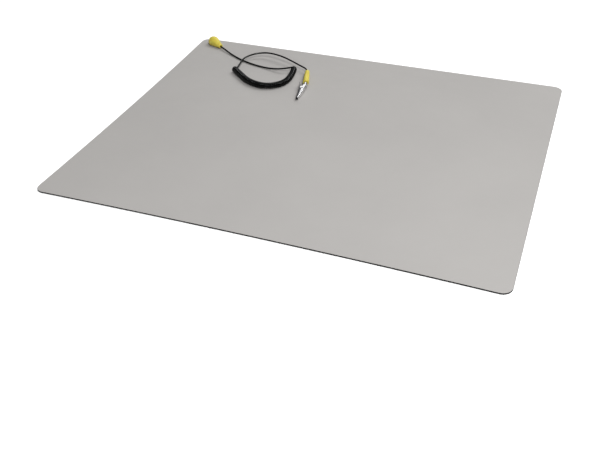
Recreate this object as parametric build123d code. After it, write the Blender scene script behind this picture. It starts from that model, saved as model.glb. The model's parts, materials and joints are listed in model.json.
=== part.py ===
from build123d import *
import math
import os

# Electrostatic bench mat with its coiled grounding lead: snap connector, curly cord, plug and clip.
# Millimetres. Origin at the middle of the mat's underside, +X along its long side, +Z up.

os.makedirs("parts", exist_ok=True)

# mat
MAT_X, MAT_Y, CORNER_R = 600.0, 500.0, 15.0
BASE_T, TOP_T = 1.4, 0.6
MAT_T = BASE_T + TOP_T
STUD_XY = (-275.5, 232.0)
SHANK_R, RIVET_R, RIVET_T = 2.0, 6.0, 0.5
STUD_PROFILE = [(2.0, 2.0), (7.0, 2.0), (7.0, 2.6), (4.35, 2.7), (4.35, 3.9), (4.8, 4.7), (4.8, 5.2),
                (4.1, 6.2), (0.0, 6.2), (0.0, 5.7), (3.9, 5.7), (4.3, 5.1), (4.3, 4.8), (3.8, 4.0),
                (3.8, 3.1), (2.0, 3.1)]

# snap connector, along +X of its own frame, heights from the mat's underside
SNAP_HEADING = -34.7
SNAP_BASE_Z, SNAP_AXIS_Z, NOSE_AXIS_Z = 3.0, 6.6, 6.0
HEAD_R, HEAD_HALF_H, HEAD_SECTION_ANGLES = 9.0, 8.8, (10, 25, 42, 62, 90)
NOSE_SECTIONS = [(4.0, 8.7, 8.4), (9.0, 7.6, 7.0), (14.0, 6.4, 5.4), (19.0, 5.1, 4.0), (24.0, 3.9, 2.9)]
GROOVE_X, GROOVE_W, GROOVE_DEPTH = (15.5, 18.0, 20.5), 0.9, 0.45
SOCKET_R, SOCKET_BORE_R, SOCKET_TOP_Z = 7.0, 5.1, 7.3
RING_R, RING_WIRE_R, RING_Z, RING_GAP = 4.9, 0.35, 3.9, 40.0
CORD_START_X, CORD_BEND_X, WIRE_R = 12.0, 33.0, 0.6

# cord
CORD_R, COIL_R = 1.35, 4.7
COIL_Z = MAT_T + COIL_R + 0.3
LIE_Z = MAT_T + CORD_R + 0.3
BEND_SHARE = 0.45
SNAP_TAIL = [(-226.5, 198.8, LIE_Z), (-203.5, 185.0, LIE_Z), (-178.0, 174.7, LIE_Z), (-152.5, 169.3, LIE_Z),
             (-132.5, 165.4, 6.5), (-117.3, 164.4, 10.1), (-106.9, 171.9, 10.3)]
COIL = [(-105.8, 173.3, COIL_Z), (-99.9, 148.0, COIL_Z), (-103.5, 118.4, COIL_Z), (-127.8, 101.2, COIL_Z),
        (-157.8, 109.8, COIL_Z), (-178.9, 128.3, COIL_Z), (-196.6, 144.1, COIL_Z)]
PLUG_TAIL = [(-194.2, 145.4, 8.4), (-193.3, 158.2, 9.6), (-196.8, 178.2, 9.9), (-187.2, 199.0, 10.4),
             (-165.5, 207.8, 12.3), (-139.0, 201.0, 13.0), (-117.0, 191.1, 11.8), (-99.0, 182.6, 9.8)]

# plug, along +X of its own frame with the clip's mouth at X = 0
PLUG_XYZ, PLUG_HEADING, PLUG_TILT = (-70.4, 131.6, 7.5), -74.0, 2.5
PLUG_BEND_X, PLUG_CORD_X, CHAMBER_X, PIN_BACK_X, WIRE_END_X = -44.0, -29.0, -22.0, -24.0, -19.0
HANDLE_PROFILE = [(-37.0, 2.9), (-36.2, 3.4), (-25.0, 4.3), (-4.5, 4.7), (-3.5, 4.7), (-3.0, 4.2),
                  (-2.2, 4.2), (-1.7, 4.7), (-0.8, 4.7), (-0.3, 4.2)]
PIN_R, PIN_CORE_R, PIN_L, LEAF_R, LEAF_T = 1.45, 1.8, 14.5, 2.04, 0.22

# clip, in a frame at its pivot with +X towards the tip and +Z along the pivot
PIVOT_XY, CLIP_TURN = (18.0, -4.5), -10.0
SHEET, TIP_X, TIP_HALF_W, BACK_R = 0.7, 31.0, 1.8, 1.4
FIXED_HALF_W, MOVING_HALF_W, RIVET_HALF_L = 3.2, 2.45, 3.7
EAR_R, RIVET_PIN_R, RIVET_HEAD_R, MOVING_HOLE_R = 3.3, 1.05, 1.9, 1.12
BARREL_R, BARREL_BORE_R, BARREL_X = 3.0, 2.12, (0.4, 12.5)
TOOTH_X0, TOOTH_PITCH, TOOTH_N, TOOTH_H, BITE_GAP = 8.0, 2.2, 10, 0.55, 0.1
LEVER = [(-4.0, -5.1), (-15.5, -8.0)]
SPRING_R, SPRING_WIRE_R, SPRING_TURNS, SPRING_PITCH = 2.0, 0.3, 3.5, 0.66
SPRING_ARM_L, SPRING_TURN, SPRING_ARM_TIP = 11.0, -5.0, (-10.5, -5.3)


def lathe(profile, plane, axis):
    return revolve(plane * make_face(Polyline(*profile, close=True)), axis=axis)


def rod(x0, x1, radius):
    return Location((x0, 0, 0), (0, 90, 0)) * Cylinder(
        radius, x1 - x0, align=(Align.CENTER, Align.CENTER, Align.MIN))


def disc(z0, z1, radius, xy=(0, 0)):
    return Location((xy[0], xy[1], z0)) * Cylinder(
        radius, z1 - z0, align=(Align.CENTER, Align.CENTER, Align.MIN))


def slab(profile, z0, z1):
    return extrude(Plane.XY.offset(z0) * make_face(Polyline(*profile, close=True)), z1 - z0)


def local_point(frame, x, y=0.0, z=0.0):
    return tuple((frame * Location((x, y, z))).position)


def tube(name, points, radius):
    runs = [math.dist(a, b) for a, b in zip(points, points[1:])]
    radii = []
    for i in range(1, len(points) - 1):
        back, ahead = Vector(points[i]) - Vector(points[i - 1]), Vector(points[i + 1]) - Vector(points[i])
        turn = math.radians(back.get_angle(ahead))
        radii.append(BEND_SHARE * min(runs[i - 1], runs[i]) / math.tan(turn / 2))
    path = FilletPolyline(*points, radius=radii)
    start = Plane(origin=points[0], z_dir=Vector(points[1]) - Vector(points[0]))
    solid = sweep(start * Circle(radius), path=path)
    print(name, "length", round(path.length, 1), "least radius", round(min(radii), 1),
          "volume share", round(solid.volume / (math.pi * radius ** 2 * path.length), 4))
    return solid


def mat_layer(z0, z1):
    sheet = extrude(Plane.XY.offset(z0) * RectangleRounded(MAT_X, MAT_Y, CORNER_R), z1 - z0)
    return sheet - disc(z0, z1, SHANK_R, STUD_XY)


def mat_parts():
    base = mat_layer(0, BASE_T) - disc(0, RIVET_T, RIVET_R, STUD_XY)
    stud = Location((*STUD_XY, 0)) * lathe(STUD_PROFILE, Plane.XZ, Axis.Z)
    rivet = disc(0, RIVET_T, RIVET_R, STUD_XY) + disc(RIVET_T, 3.1, SHANK_R, STUD_XY)
    rivet += disc(3.1, 3.5, 3.0, STUD_XY)
    return {"mat_base_layer": base, "mat_top_layer": mat_layer(BASE_T, MAT_T), "mat_stud": stud,
            "mat_rivet": rivet}


def ellipse_face(x, half_w, half_h, z):
    return Plane(origin=(x, 0, z), x_dir=(0, 1, 0), z_dir=(1, 0, 0)) * Ellipse(half_w, half_h)


def nose_axis_z(x):
    return SNAP_AXIS_Z + (NOSE_AXIS_Z - SNAP_AXIS_Z) * x / NOSE_SECTIONS[-1][0]


def snap_shell():
    sections = []
    for angle in HEAD_SECTION_ANGLES:
        across, along = math.sin(math.radians(angle)), math.cos(math.radians(angle))
        sections.append(ellipse_face(-HEAD_R * along, HEAD_R * across, HEAD_HALF_H * across, SNAP_AXIS_Z))
    sections += [ellipse_face(x, w, h, nose_axis_z(x)) for x, w, h in NOSE_SECTIONS]
    below = Pos(0, 0, SNAP_BASE_Z) * Box(80, 80, 40, align=(Align.CENTER, Align.CENTER, Align.MAX))
    return loft(sections) - below


def snap_groove(x):
    (x0, w0, h0), (x1, w1, h1) = next(p for p in zip(NOSE_SECTIONS, NOSE_SECTIONS[1:]) if x < p[1][0])
    share = (x - x0) / (x1 - x0)
    half_w, half_h = w0 + (w1 - w0) * share - GROOVE_DEPTH, h0 + (h1 - h0) * share - GROOVE_DEPTH
    core = extrude(ellipse_face(x, half_w, half_h, nose_axis_z(x)), GROOVE_W)
    return Pos(x + GROOVE_W / 2, 0, NOSE_AXIS_Z) * Box(GROOVE_W, 30, 30) - core


def snap_parts(frame):
    housing = snap_shell() - disc(SNAP_BASE_Z, SOCKET_TOP_Z, SOCKET_R)
    for x in GROOVE_X:
        housing -= snap_groove(x)
    housing -= Pos(0, 0, NOSE_AXIS_Z) * rod(CORD_START_X, 30, CORD_R)
    chamber = [(-2.0, -2.0), (CORD_START_X, -2.0), (CORD_START_X, 2.0), (-2.0, 2.0)]
    housing -= slab(chamber, SOCKET_TOP_Z, 9.6) + slab([(8.0, -2.0), *chamber[1:3], (8.0, 2.0)], 5.0, 8.0)
    socket = lathe([(SOCKET_BORE_R, SNAP_BASE_Z), (SOCKET_R, SNAP_BASE_Z), (SOCKET_R, SOCKET_TOP_Z),
                    (1.0, SOCKET_TOP_Z), (1.0, 6.7), (SOCKET_BORE_R, 6.7), (SOCKET_BORE_R, 4.5),
                    (5.7, 4.5), (5.7, 3.4), (SOCKET_BORE_R, 3.4)], Plane.XZ, Axis.Z)
    ring = Pos(0, 0, RING_Z) * Torus(RING_R, RING_WIRE_R)
    gap = math.radians(RING_GAP / 2)
    ring -= slab([(0, 0), (9, -9 * math.tan(gap)), (9, 9 * math.tan(gap))], 3, 5)
    eyelet = disc(6.4, 6.7, 2.0) + disc(6.7, 8.1, 1.0) + disc(8.1, 8.5, 1.7)
    tab = slab([(-1.9, -1.7), (4.6, -1.7), (4.6, 1.7), (-1.9, 1.7)], SOCKET_TOP_Z, 7.8) - disc(7, 8.1, 1.0)
    washer = disc(7.8, 8.1, 1.8) - disc(7, 8.1, 1.0)
    resistor = Pos(0, 0, 8.4) * rod(5.2, 10.6, 1.0)
    leads = Pos(0, 0, 8.4) * rod(3.2, 5.2, 0.3) + Pos(3.5, 0, 8.1) * Box(0.6, 0.6, 0.6)
    wire = Pos(0, 0, 8.4) * rod(10.6, 11.6, 0.3) + Pos(11.3, 0, 7.2) * Box(0.6, 0.6, 2.7)
    wire += Pos(0, 0, NOSE_AXIS_Z) * rod(11.0, CORD_START_X, 0.5)
    parts = {"snap_housing": housing, "snap_socket": socket, "snap_spring": ring, "snap_eyelet": eyelet,
             "snap_terminal": tab + washer, "snap_resistor": resistor,
             "resistor_lead": leads, "snap_wire_end": wire}
    return {name: frame * shape for name, shape in parts.items()}


def cord_parts(snap, plug):
    start = [local_point(snap, x, 0, NOSE_AXIS_Z) for x in (CORD_START_X, CORD_BEND_X)]
    end = [local_point(plug, x) for x in (PLUG_BEND_X, PLUG_CORD_X)]
    return {"cord_snap_tail": tube("cord_snap_tail", start + SNAP_TAIL, CORD_R),
            "cord_coil": tube("cord_coil", COIL, COIL_R),
            "cord_plug_tail": tube("cord_plug_tail", PLUG_TAIL + end, CORD_R)}


def plug_leaf():
    outer = [(1.0, PIN_R), (3.0, 1.8), (5.5, LEAF_R), (7.5, LEAF_R), (10.5, 1.8), (13.0, PIN_R)]
    inner = [(x, y - LEAF_T) for x, y in reversed(outer[1:-1])]
    leaf = extrude(make_face(Polyline(*outer, *inner, close=True)), 0.7, both=True)
    return (leaf & rod(0, PIN_L, LEAF_R)) - rod(-1, PIN_L + 1, PIN_R)


def plug_parts(frame):
    front, back = HANDLE_PROFILE[-1][0], HANDLE_PROFILE[0][0]
    handle = lathe([(back, 0), *HANDLE_PROFILE, (front, 0)], Plane.XY, Axis.X)
    handle -= rod(back, PLUG_CORD_X, CORD_R) + rod(PLUG_CORD_X, CHAMBER_X, 2.2)
    handle -= rod(CHAMBER_X, front, PIN_CORE_R)
    pin = rod(PIN_BACK_X, PIN_L, PIN_R) + rod(CHAMBER_X + 2, -1.0, PIN_CORE_R)
    pin = fillet(pin.edges().filter_by(GeomType.CIRCLE).sort_by(Axis.X)[-1], 0.9)
    pin -= rod(PIN_BACK_X, WIRE_END_X, WIRE_R)
    leaves = [Rot(angle, 0, 0) * plug_leaf() for angle in (0, 90, 180, 270)]
    wire = rod(PLUG_CORD_X, WIRE_END_X, WIRE_R)
    parts = {"plug_handle": handle, "plug_pin": pin, "plug_leaves": Compound(leaves), "plug_wire_end": wire}
    return {name: frame * shape for name, shape in parts.items()}


def teeth(side):
    edge = []
    for i in range(TOOTH_N):
        x = TOOTH_X0 + i * TOOTH_PITCH
        edge += [(x, -TOOTH_H + side * BITE_GAP), (x + TOOTH_PITCH / 2, TOOTH_H + side * BITE_GAP)]
    return edge


def taper(half_w, half_tip, x0, x1):
    outline = [(x0, -half_w), (8.0, -half_w), (x1, -half_tip), (x1, half_tip), (8.0, half_w), (x0, half_w)]
    return extrude(Plane.XZ * make_face(Polyline(*outline, close=True)), 12, both=True)


def channel(outline, hollow, half_w):
    """A sheet channel with a rounded back, which is the first line of the outline."""
    (x0, y0), (x1, y1) = outline[:2]
    outer = slab(outline, -5, 5) & taper(half_w, TIP_HALF_W, x0, TIP_X)
    on_back = lambda p: abs(p.Y - y0 - (y1 - y0) * (p.X - x0) / (x1 - x0)) < 0.01
    back = [e for e in outer.edges() if on_back(e @ 0) and on_back(e @ 1) and abs((e % 0.5).X) > 0.9]
    outer = fillet(back, BACK_R)
    return outer - (slab(hollow, -5, 5) & taper(half_w - SHEET, TIP_HALF_W - SHEET, x0 - 9, TIP_X - SHEET))


def ears(half_w, hole_r):
    both = disc(-half_w, half_w, EAR_R) - disc(SHEET - half_w, half_w - SHEET, EAR_R + 1)
    return both, disc(-9, 9, hole_r)


def fixed_jaw(clip):
    outline = [(-9.0, 5.6), (TIP_X, 1.7), *reversed(teeth(1)), (6.0, 0.1), (-9.0, 0.4)]
    hollow = [(-20.0, 6.0), (TIP_X, 1.0), (TIP_X, -9.0), (-20.0, -9.0)]
    side, hole = ears(FIXED_HALF_W, RIVET_PIN_R)
    jaw = channel(outline, hollow, FIXED_HALF_W) + side
    barrel, bore = (clip.inverse() * PLUG * rod(*BARREL_X, r) for r in (BARREL_R, BARREL_BORE_R))
    clear = clip.inverse() * PLUG * rod(BARREL_X[0] - 1, BARREL_X[1] + 3, BARREL_BORE_R)
    return jaw + (barrel - bore) - hole - clear


def moving_jaw():
    (x0, y0), (x1, y1) = LEVER
    outline = [(x0, y0), (TIP_X, -1.7), *reversed(teeth(-1)), (6.0, -0.1), (x0, -0.4)]
    hollow = [(-20.0, -5.9), (TIP_X, -1.0), (TIP_X, 9.0), (-20.0, 9.0)]
    side, hole = ears(MOVING_HALF_W, MOVING_HOLE_R)
    lever = slab([(x0 + 2, y0 + 0.2), (x0, y0), (x1, y1), (x1 - 0.2, y1 + SHEET), (x0, y0 + SHEET + 0.05),
                  (x0 + 2, y0 + SHEET + 0.2)], -MOVING_HALF_W, MOVING_HALF_W)
    return channel(outline, hollow, MOVING_HALF_W) + side + lever - hole


def clip_spring():
    height = SPRING_TURNS * SPRING_PITCH
    turns = Pos(0, 0, -height / 2) * Rot(0, 0, -90) * Helix(SPRING_PITCH, height, SPRING_R)
    arm = Line(turns @ 0 - (turns % 0) * SPRING_ARM_L, turns @ 0)
    path = Wire([arm, *turns.edges()])
    wire = sweep(Plane(origin=path @ 0, z_dir=path % 0) * Circle(SPRING_WIRE_R), path=path)
    end, tip = Rot(0, 0, SPRING_TURN) * Pos(*(turns @ 1)), Vector(*SPRING_ARM_TIP, height / 2)
    run = tip - end.position
    other_arm = Plane(origin=end.position, z_dir=run) * Cylinder(
        SPRING_WIRE_R, run.length, align=(Align.CENTER, Align.CENTER, Align.MIN))
    return Rot(0, 0, SPRING_TURN) * wire + other_arm


def clip_parts(clip):
    heads = disc(FIXED_HALF_W, RIVET_HALF_L, RIVET_HEAD_R) + disc(-RIVET_HALF_L, -FIXED_HALF_W, RIVET_HEAD_R)
    rivet = heads + disc(-FIXED_HALF_W, FIXED_HALF_W, RIVET_PIN_R)
    parts = {"clip_fixed_jaw": fixed_jaw(clip), "clip_moving_jaw": moving_jaw(), "clip_rivet": rivet,
             "clip_spring": clip_spring()}
    return {name: clip * shape for name, shape in parts.items()}


SNAP = Location((*STUD_XY, 0), (0, 0, SNAP_HEADING))
PLUG = Location(PLUG_XYZ, (0, 0, PLUG_HEADING)) * Rot(0, PLUG_TILT, 0)
CLIP = PLUG * Location((*PIVOT_XY, 0), (0, 0, CLIP_TURN))
print("pivot", local_point(CLIP, 0), "tip", local_point(CLIP, TIP_X), "plug", local_point(PLUG, 1),
      "above the pivot", local_point(CLIP, 0, 0, 1))

for name, shape in {**mat_parts(), **snap_parts(SNAP), **cord_parts(SNAP, PLUG), **plug_parts(PLUG),
                    **clip_parts(CLIP)}.items():
    export_step(shape, f"parts/{name}.step")
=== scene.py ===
"""An electrostatic bench mat with its coiled grounding lead, in metres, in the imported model's frame."""

import json
import math

import bmesh
import bpy
from mathutils import Matrix, Vector


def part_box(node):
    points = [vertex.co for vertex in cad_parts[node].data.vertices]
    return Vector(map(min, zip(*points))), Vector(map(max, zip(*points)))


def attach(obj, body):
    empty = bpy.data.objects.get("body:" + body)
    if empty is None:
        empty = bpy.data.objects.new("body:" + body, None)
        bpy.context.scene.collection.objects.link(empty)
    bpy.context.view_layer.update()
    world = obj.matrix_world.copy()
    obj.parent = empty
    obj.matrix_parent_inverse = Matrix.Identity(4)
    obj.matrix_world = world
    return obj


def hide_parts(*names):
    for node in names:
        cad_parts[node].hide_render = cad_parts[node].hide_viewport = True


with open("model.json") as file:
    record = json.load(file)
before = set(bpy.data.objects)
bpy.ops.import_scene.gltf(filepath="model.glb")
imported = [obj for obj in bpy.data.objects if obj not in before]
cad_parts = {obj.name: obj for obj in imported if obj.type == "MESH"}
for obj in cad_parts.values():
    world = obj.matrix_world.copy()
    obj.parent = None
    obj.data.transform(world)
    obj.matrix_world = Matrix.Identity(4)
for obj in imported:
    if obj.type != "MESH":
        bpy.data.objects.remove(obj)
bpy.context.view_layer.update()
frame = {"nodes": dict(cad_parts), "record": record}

MM = 0.001

# Camera: the photograph's viewpoint, with its 600 x 450 frame.
FOCAL_PX, FRAME_W, SENSOR = 799.0, 600, 36.0
CAMERA_AT, CAMERA_TURN, CAMERA_SHIFT = (0.3210, -0.9207, 0.5634), (53.63, -2.00, 22.82), 20 / FRAME_W

# The cord's route in millimetres: the points of the CAD tubes, then the coil's axis.
CORD_R, COIL_MEAN_R = 1.35, 3.5
SNAP_TAIL = [(-265.6, 225.2, 6.0), (-248.4, 213.2, 6.0), (-226.5, 198.8, 3.65), (-203.5, 185.0, 3.65),
             (-178.0, 174.7, 3.65), (-152.5, 169.3, 3.65), (-132.5, 165.4, 6.5), (-117.3, 164.4, 10.1)]
COIL_AXIS = [(-105.8, 173.3, 7.0), (-99.9, 148.0, 7.0), (-103.5, 118.4, 7.0), (-127.8, 101.2, 7.0),
             (-157.8, 109.8, 7.0), (-178.9, 128.3, 7.0), (-196.6, 144.1, 7.0)]
PLUG_TAIL = [(-193.6, 149.0, 8.0), (-193.3, 158.2, 9.6), (-196.8, 178.2, 9.9), (-187.2, 199.0, 10.4),
             (-165.5, 207.8, 12.3), (-139.0, 201.0, 13.0), (-117.0, 191.1, 11.8), (-99.0, 182.6, 9.8),
             (-82.5, 173.9, 9.4), (-78.4, 159.4, 8.8)]
TURN_PITCH, POINTS_PER_TURN, TURN_START, TURN_END = 2.71, 12, -30, 225

# The clip's spring, in millimetres and degrees in the clip's own frame: its winding, the leg that stays on
# the fixed jaw, and the tip of the leg that goes with the lever.
SPRING_R, SPRING_WIRE_R, SPRING_PITCH, SPRING_START, SPRING_SWEEP = 2.0, 0.3, 0.66, -95, 1260
SPRING_LEG, SPRING_TIP, SPRING_PRESS = 11.0, (-10.5, -5.3, 1.155), 16
INNER_SHARE = 0.94  # the lever's leg against the winding's wire, so that it starts hidden inside it

# How finely curves are divided: along the tubes and the guide line, and around the cord and the spring.
TUBE_STEPS, GUIDE_STEPS, CORD_ROUND, SPRING_ROUND = 6, 24, 4, 2

# The mat's two layers, as insets from its outline and heights in millimetres, and how its sides bow:
# inwards at the middle and outwards at the corners. The rubber stops just above the rivet's flush face.
MAT_CORNER_R, MAT_CORNER_STEPS, MAT_SIDE_STEPS = 13, 12, 24
FRONT_BOW, LEFT_BOW = (0.8, 3.2), (2.6, 1.0)
BASE_RINGS = [(0.15, 0.05), (0.0, 0.2), (0.0, 1.55), (0.1, 1.65)]
TOP_RINGS = [(0.3, 1.65), (0.3, 1.85), (0.4, 1.95), (0.6, 2.0)]


FLOOR_SIZE, FLOOR_Z = 12, -0.0003
STREAK = (1, 1, 6)


def millimetres(points):
    return [Vector(p) * MM for p in points]


def camera():
    data = bpy.data.cameras.new("camera")
    data.sensor_width, data.lens = SENSOR, FOCAL_PX * SENSOR / FRAME_W
    data.shift_x = CAMERA_SHIFT
    obj = bpy.data.objects.new("camera", data)
    bpy.context.collection.objects.link(obj)
    pitch, roll, yaw = (math.radians(a) for a in CAMERA_TURN)
    turn = Matrix.Rotation(yaw, 4, "Z") @ Matrix.Rotation(pitch, 4, "X") @ Matrix.Rotation(roll, 4, "Z")
    obj.matrix_world = Matrix.Translation(CAMERA_AT) @ turn
    bpy.context.scene.camera = obj


def nurbs(name, points, resolution, radius):
    curve = bpy.data.curves.new(name, "CURVE")
    curve.dimensions = "3D"
    spline = curve.splines.new("NURBS")
    spline.points.add(len(points) - 1)
    for at, point in zip(spline.points, points):
        at.co, at.radius = (*point, 1), radius * MM
    spline.order_u, spline.use_endpoint_u = 3, True
    curve.resolution_u = resolution
    obj = bpy.data.objects.new(name, curve)
    bpy.context.collection.objects.link(obj)
    return obj


def tube(name, points, radius, around):
    obj = nurbs(name, points, TUBE_STEPS, radius)
    obj.data.bevel_depth, obj.data.bevel_resolution = 1, around  # times each point's own radius
    obj.data.use_fill_caps = True
    return obj


def line_of(points):
    """The points along the smooth line that these control points give."""
    guide = nurbs("guide", points, GUIDE_STEPS, CORD_R)
    mesh = bpy.data.meshes.new_from_object(guide)
    line = [v.co.copy() for v in mesh.vertices]
    bpy.data.objects.remove(guide)
    return line


def turns_along(axis):
    """How far round the winding is at each point of its axis: the turns touch, and spread where it bends."""
    turned = [0.0]
    for i in range(1, len(axis)):
        before, after = axis[max(i - 2, 0)], axis[min(i + 1, len(axis) - 1)]
        bend = (axis[i - 1] - before).angle(after - axis[i], 0) / (after - before).length
        pitch = TURN_PITCH * MM / (1 - COIL_MEAN_R * MM * bend)
        turned.append(turned[-1] + (axis[i] - axis[i - 1]).length / pitch)
    return turned


def helix(axis):
    """Control points of the curly part, which start and end on the sides where the tails leave it."""
    turned = turns_along(axis)
    spare = (TURN_END - TURN_START) / 360
    whole = math.floor(turned[-1] - spare) + spare
    count = round(whole * POINTS_PER_TURN)
    reach = COIL_MEAN_R * MM / math.cos(math.pi / POINTS_PER_TURN)
    points, i = [], 0
    for k in range(count + 1):
        at = turned[-1] * k / count
        while i < len(axis) - 2 and turned[i + 1] < at:
            i += 1
        ahead = axis[i + 1] - axis[i]
        centre = axis[i] + ahead * (at - turned[i]) / (turned[i + 1] - turned[i])
        angle = math.radians(TURN_START + 360 * whole * k / count)
        side = Vector((-ahead.y, ahead.x, 0)).normalized()
        points.append(centre + reach * (math.cos(angle) * Vector((0, 0, 1)) + math.sin(angle) * side))
    return points


def cord():
    curly = helix(line_of(millimetres(COIL_AXIS)))
    return tube("cord", millimetres(SNAP_TAIL) + curly + millimetres(PLUG_TAIL), CORD_R, CORD_ROUND)


def clip_frame():
    """The clip's own frame at its pivot: x to the tip, z along the rivet."""
    record = frame["record"]
    pivot = next(j for j in record["behaviour"]["joints"] if j["name"] == "clip_jaw")
    z = -Vector(pivot["axis"]).normalized()
    tip = Vector(next(m for m in record["mounts"] if m["name"] == "clip_bite")["axis"])
    x = (tip - tip.dot(z) * z).normalized()
    return Matrix.Translation(pivot["pos_m"]) @ Matrix((x, z.cross(x), z)).transposed().to_4x4()


def winding(degrees):
    """The control point of the clip's spring this far round from where its winding starts."""
    angle = math.radians(SPRING_START + degrees)
    reach = SPRING_R / math.cos(math.pi / POINTS_PER_TURN)
    height = SPRING_PITCH * (degrees - SPRING_SWEEP / 2) / 360
    return Vector((reach * math.cos(angle), reach * math.sin(angle), height))


def spring_wire(name, points, body, radius):
    place = clip_frame()
    obj = tube(name, [place @ p for p in millimetres(points)], radius, SPRING_ROUND)
    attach(obj, body)
    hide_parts("clip_spring")
    return obj


def clip_spring():
    """The winding with its fixed leg, and the leg the lever presses, which starts inside the last turn."""
    end = SPRING_SWEEP - SPRING_PRESS
    count = math.ceil(end * POINTS_PER_TURN / 360)
    turns = [winding(end * k / count) for k in range(count + 1)]
    start = math.radians(SPRING_START)
    foot = turns[0] - SPRING_LEG * Vector((-math.sin(start), math.cos(start), 0))
    leg = [winding(SPRING_SWEEP - SPRING_PRESS * k) for k in (2, 1, 0)]
    return [spring_wire("spring_winding", [foot, *turns], "clip", SPRING_WIRE_R),
            spring_wire("spring_lever_leg", [*leg, SPRING_TIP], "jaw", SPRING_WIRE_R * INNER_SHARE)]


def mat_outline(inset):
    """The rubber sheet's edge seen from above, with rounded corners and slightly bowed sides."""
    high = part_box("mat_base_layer")[1]
    points = []
    for sx, sy, start in ((1, 1, 0), (-1, 1, 90), (-1, -1, 180), (1, -1, 270)):
        centre = Vector((sx * (high.x - MAT_CORNER_R * MM), sy * (high.y - MAT_CORNER_R * MM)))
        for step in range(MAT_CORNER_STEPS + 1):
            turn = math.radians(start + 90 * step / MAT_CORNER_STEPS)
            spoke = Vector((math.cos(turn), math.sin(turn)))
            points.append(centre + (MAT_CORNER_R * MM - inset) * spoke)
        after = Vector((-sx, 0)) if sx == sy else Vector((0, -sy))
        run = 2 * (high.x if after.x else high.y) - 2 * MAT_CORNER_R * MM
        points += [points[-1] + after * run * step / MAT_SIDE_STEPS for step in range(1, MAT_SIDE_STEPS)]
    return [bowed(p, high) for p in points]


def bowed(point, high):
    """The point shifted with the bow of the front or left side that it is nearest to."""
    across, along = point.x / high.x, point.y / high.y
    front, left = max(0, -along) ** 2, max(0, -across) ** 2
    inward_y = FRONT_BOW[0] * (1 - across ** 2) - FRONT_BOW[1] * across ** 2
    inward_x = LEFT_BOW[0] * (1 - along ** 2) - LEFT_BOW[1] * along ** 2
    return Vector((point.x + left * inward_x * MM, point.y + front * inward_y * MM))


def mat_sheet(node, slot, rings):
    """One layer of the mat: rings of its outline, lowest first, closed with flat faces."""
    shape = bmesh.new()
    loops = [[shape.verts.new((*p, height * MM)) for p in mat_outline(inset * MM)]
             for inset, height in rings]
    for lower, upper in zip(loops, loops[1:]):
        for i in range(len(lower)):
            shape.faces.new((lower[i - 1], lower[i], upper[i], upper[i - 1]))
    shape.faces.new(reversed(loops[0]))
    shape.faces.new(loops[-1])
    data = bpy.data.meshes.new(slot)
    shape.to_mesh(data)
    shape.free()
    obj = bpy.data.objects.new(slot, data)
    bpy.context.collection.objects.link(obj)
    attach(obj, "mat")
    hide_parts(node)
    return obj


def material(name, **sockets):
    made = bpy.data.materials.new(name)
    made.use_nodes = True
    shader = made.node_tree.nodes["Principled BSDF"]
    for socket, value in sockets.items():
        shader.inputs[socket.replace("_", " ")].default_value = value
    return made


def noise(made, size, detail=3.0, stretch=(1, 1, 1), kind="ShaderNodeTexNoise"):
    """A texture whose features are about size metres across, in the object's own coordinates."""
    nodes, links = made.node_tree.nodes, made.node_tree.links
    place, mapping, texture = (nodes.new(n) for n in ("ShaderNodeTexCoord", "ShaderNodeMapping", kind))
    mapping.inputs["Scale"].default_value = stretch
    texture.inputs["Scale"].default_value = 1 / size
    texture.inputs["Detail"].default_value = detail
    links.new(place.outputs["Object"], mapping.inputs["Vector"])
    links.new(mapping.outputs["Vector"], texture.inputs["Vector"])
    return texture.outputs[0]


def tones(made, value, dark, light):
    nodes, links = made.node_tree.nodes, made.node_tree.links
    ramp = nodes.new("ShaderNodeValToRGB")
    ramp.color_ramp.elements[0].position, ramp.color_ramp.elements[1].position = 0.35, 0.65
    ramp.color_ramp.elements[0].color, ramp.color_ramp.elements[1].color = (*dark, 1), (*light, 1)
    links.new(value, ramp.inputs["Fac"])
    links.new(ramp.outputs["Color"], nodes["Principled BSDF"].inputs["Base Color"])


def gloss(made, value, smooth, rough):
    nodes, links = made.node_tree.nodes, made.node_tree.links
    spread = nodes.new("ShaderNodeMapRange")
    spread.inputs["From Min"].default_value, spread.inputs["From Max"].default_value = 0.3, 0.7
    spread.inputs["To Min"].default_value, spread.inputs["To Max"].default_value = smooth, rough
    links.new(value, spread.inputs["Value"])
    links.new(spread.outputs["Result"], nodes["Principled BSDF"].inputs["Roughness"])


def bump(made, value, depth, strength):
    nodes, links = made.node_tree.nodes, made.node_tree.links
    relief = nodes.new("ShaderNodeBump")
    relief.inputs["Distance"].default_value, relief.inputs["Strength"].default_value = depth, strength
    links.new(value, relief.inputs["Height"])
    shader = nodes["Principled BSDF"].inputs["Normal"]
    if shader.links:
        links.new(shader.links[0].from_socket, relief.inputs["Normal"])
    links.new(relief.outputs["Normal"], shader)


def grey_rubber():
    made = material("grey_rubber", Specular_IOR_Level=0.15)
    tones(made, noise(made, 0.15, 5), (0.374, 0.362, 0.351), (0.388, 0.376, 0.364))
    gloss(made, noise(made, 0.02), 0.50, 0.62)
    bump(made, noise(made, 0.0012, 2, kind="ShaderNodeTexVoronoi"), 0.00006, 0.5)
    bump(made, noise(made, 0.05, 2), 0.0006, 0.2)
    return made


def black_rubber():
    made = material("black_rubber", Specular_IOR_Level=0.05)
    tones(made, noise(made, 0.03), (0.0015, 0.0015, 0.0017), (0.004, 0.004, 0.004))
    gloss(made, noise(made, 0.01), 0.55, 0.75)
    bump(made, noise(made, 0.0015), 0.00008, 0.5)
    return made


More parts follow.
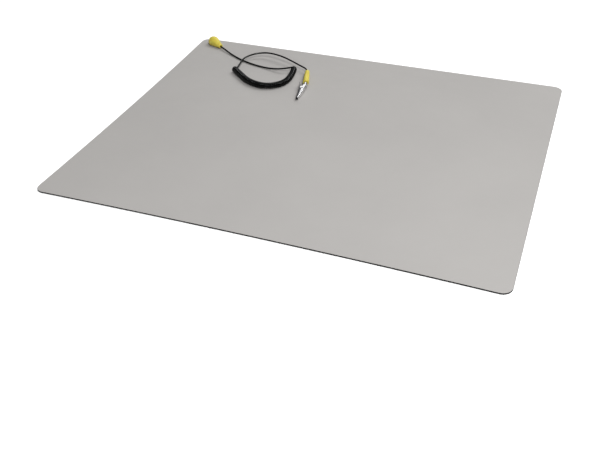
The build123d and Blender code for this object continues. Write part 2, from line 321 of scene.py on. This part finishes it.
def yellow_vinyl():
    made = material("yellow_vinyl", Subsurface_Weight=0.15, Subsurface_Scale=0.002, Specular_IOR_Level=0.45)
    tones(made, noise(made, 0.008), (0.57, 0.47, 0.055), (0.64, 0.55, 0.09))
    gloss(made, noise(made, 0.004), 0.34, 0.46)
    bump(made, noise(made, 0.0007), 0.00004, 0.4)
    return made


def cord_jacket():
    made = material("cord_jacket", Specular_IOR_Level=0.2)
    tones(made, noise(made, 0.01), (0.0006, 0.0006, 0.0008), (0.0016, 0.0016, 0.0018))
    gloss(made, noise(made, 0.005), 0.07, 0.14)
    bump(made, noise(made, 0.0006), 0.00002, 0.3)
    return made


def plated(name, dark, light, smooth, rough):
    made = material(name, Metallic=1.0)
    tones(made, noise(made, 0.004), dark, light)
    gloss(made, noise(made, 0.0015, stretch=STREAK), smooth, rough)
    bump(made, noise(made, 0.0008, stretch=STREAK), 0.00002, 0.3)
    return made


def painted_dark_reflection_steel():
    """The clip's other jaw: sheet steel coloured near black as painted dark reflection and shade along that
    side of the clip, slightly glossy.
    """
    made = material("painted_dark_reflection_steel", Specular_IOR_Level=0.35)
    tones(made, noise(made, 0.003), (0.008, 0.008, 0.011), (0.03, 0.03, 0.036))
    gloss(made, noise(made, 0.0015), 0.22, 0.38)
    bump(made, noise(made, 0.0008), 0.00002, 0.3)
    return made


def resistor_lacquer():
    made = material("resistor_lacquer", Coat_Weight=0.3)
    tones(made, noise(made, 0.001), (0.07, 0.18, 0.30), (0.12, 0.26, 0.40))
    gloss(made, noise(made, 0.001), 0.25, 0.35)
    return made


def finishes():
    """A finish for each material slot of the record."""
    return {"mat_grey_rubber": grey_rubber(), "mat_black_rubber": black_rubber(),
            "yellow_plastic": yellow_vinyl(), "cord_jacket": cord_jacket(),
            "nickel": plated("nickel", (0.60, 0.58, 0.54), (0.72, 0.70, 0.66), 0.12, 0.24),
            "clip_steel": plated("clip_steel", (0.70, 0.70, 0.71), (0.84, 0.84, 0.84), 0.08, 0.18),
            # the other jaw: near black as painted dark reflection and shade
            "clip_dark_steel": painted_dark_reflection_steel(),
            "spring_steel": plated("spring_steel", (0.30, 0.30, 0.31), (0.42, 0.42, 0.43), 0.25, 0.40),
            "brass": plated("brass", (0.50, 0.34, 0.10), (0.62, 0.45, 0.16), 0.22, 0.36),
            "resistor_body": resistor_lacquer(),
            "tinned_wire": plated("tinned_wire", (0.48, 0.46, 0.44), (0.60, 0.58, 0.56), 0.25, 0.4)}


def paint(made):
    for part in frame["record"]["subparts"]:
        for at in frame["nodes"][part["node"]].material_slots:
            at.link, at.material = "OBJECT", made[part["material_slot"]]


def floor():
    bpy.ops.mesh.primitive_plane_add(size=FLOOR_SIZE, location=(0, 0, FLOOR_Z))
    obj = bpy.context.object
    obj.name = "floor"
    made = material("floor", Base_Color=(0.93, 0.93, 0.93, 1), Roughness=0.9, Specular_IOR_Level=0.1,
                    Emission_Color=(1, 1, 1, 1), Emission_Strength=0.25)
    obj.data.materials.append(made)


def light(name, at, aim, energy, **values):
    data = bpy.data.lights.new(name, "AREA")
    data.energy = energy
    for key, value in values.items():
        setattr(data, key, value)
    obj = bpy.data.objects.new(name, data)
    bpy.context.collection.objects.link(obj)
    obj.location = at
    obj.rotation_euler = (Vector(aim) - Vector(at)).to_track_quat("-Z", "Y").to_euler()


def studio():
    world = bpy.data.worlds.new("studio")
    world.use_nodes = True
    world.node_tree.nodes["Background"].inputs["Color"].default_value = (1, 1, 1, 1)
    world.node_tree.nodes["Background"].inputs["Strength"].default_value = 0.16
    scene = bpy.context.scene
    scene.world = world
    scene.view_settings.view_transform = "Standard"
    light("softbox", (1.5, 1.9, 3.2), (0, 0, 0), 112, shape="SQUARE", size=2.6)
    light("front", (0.9, -1.3, 1.8), (0.25, -0.1, 0), 42, shape="DISK", size=0.7)
    light("card", (-0.9, 2.3, 1.25), (0, 0, 0), 5, shape="SQUARE", size=1.2)


camera()
lead_cord = cord()
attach(lead_cord, "lead")
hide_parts("cord_snap_tail", "cord_coil", "cord_plug_tail")
spring = clip_spring()

made = finishes()
paint(made)
for node, slot, rings in (("mat_base_layer", "mat_black_rubber", BASE_RINGS),
                          ("mat_top_layer", "mat_grey_rubber", TOP_RINGS)):
    mat_sheet(node, slot, rings).data.materials.append(made[slot])
lead_cord.data.materials.append(made["cord_jacket"])
for piece in spring:
    piece.data.materials.append(made["spring_steel"])
floor()
studio()
